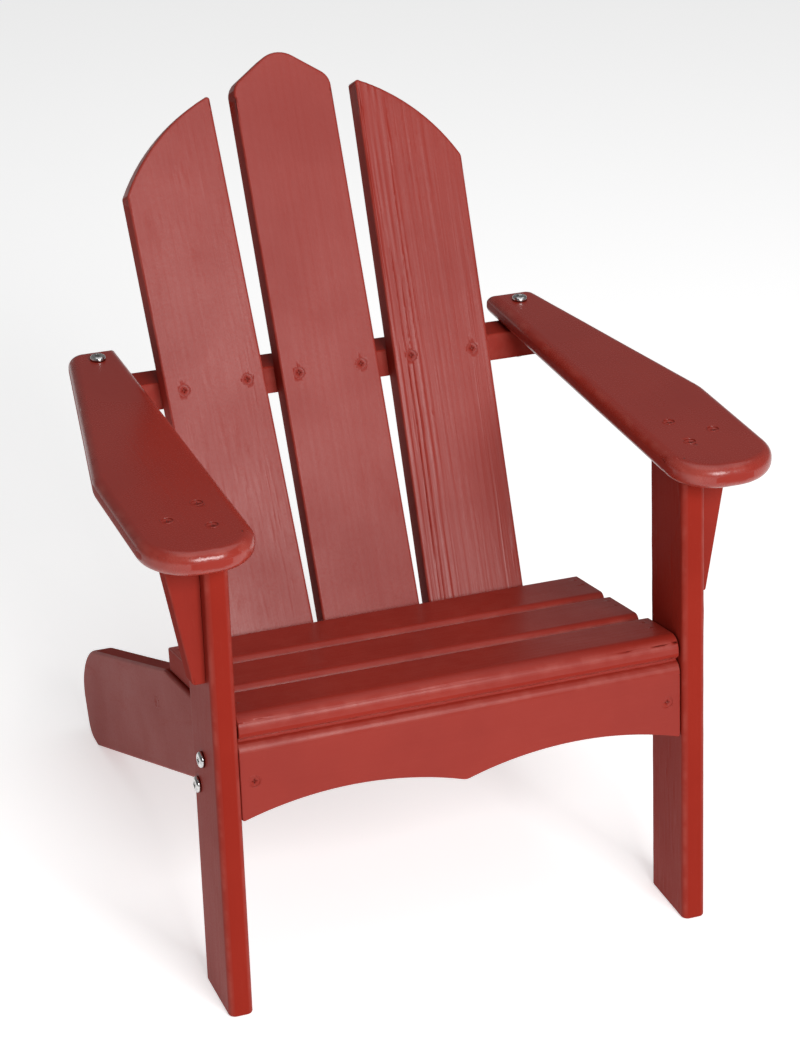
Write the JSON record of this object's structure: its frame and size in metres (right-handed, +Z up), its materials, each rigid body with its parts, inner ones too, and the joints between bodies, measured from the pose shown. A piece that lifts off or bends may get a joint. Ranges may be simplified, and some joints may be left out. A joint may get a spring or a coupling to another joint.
{
  "type": "adirondack chair",
  "caption": "Low child-size slatted garden chair in painted boards, with a reclined fan back, a sloping seat, flat arms and long rear rails.",
  "frame": {"origin": "middle of the bounding box's bottom face, on the floor", "axes": "+Z up, the chair faces -Y and +X is on the right when it is seen from the front"},
  "size_m": [0.4926, 0.4682, 0.5981],
  "materials": {
    "painted_wood": "satin brick-red paint",
    "plated_steel": "satin zinc plate",
    "painted_steel": "satin brick-red paint"
  },
  "bodies": {
    "root": {"left_front_leg": "painted_wood", "right_front_leg": "painted_wood", "left_rail": "painted_wood", "right_rail": "painted_wood", "front_apron": "painted_wood", "rear_seat_slat": "painted_wood", "middle_seat_slat": "painted_wood", "front_seat_slat": "painted_wood", "left_back_slat": "painted_wood", "centre_back_slat": "painted_wood", "right_back_slat": "painted_wood", "arm_crossbar": "painted_wood", "lower_crossbar": "painted_wood", "left_arm": "painted_wood", "right_arm": "painted_wood", "left_arm_bracket": "painted_wood", "right_arm_bracket": "painted_wood", "arm_bolts": "plated_steel", "arm_bolt_washers": "plated_steel", "arm_bolt_nuts": "plated_steel", "leg_bolts": "plated_steel", "leg_bolt_washers": "plated_steel", "leg_bolt_nuts": "plated_steel", "arm_screws": "painted_steel", "apron_screws": "painted_steel", "lower_crossbar_screws": "painted_steel", "upper_back_screws": "painted_steel", "lower_back_screws": "painted_steel", "seat_nails": "painted_steel"}
  },
  "joints": []
}
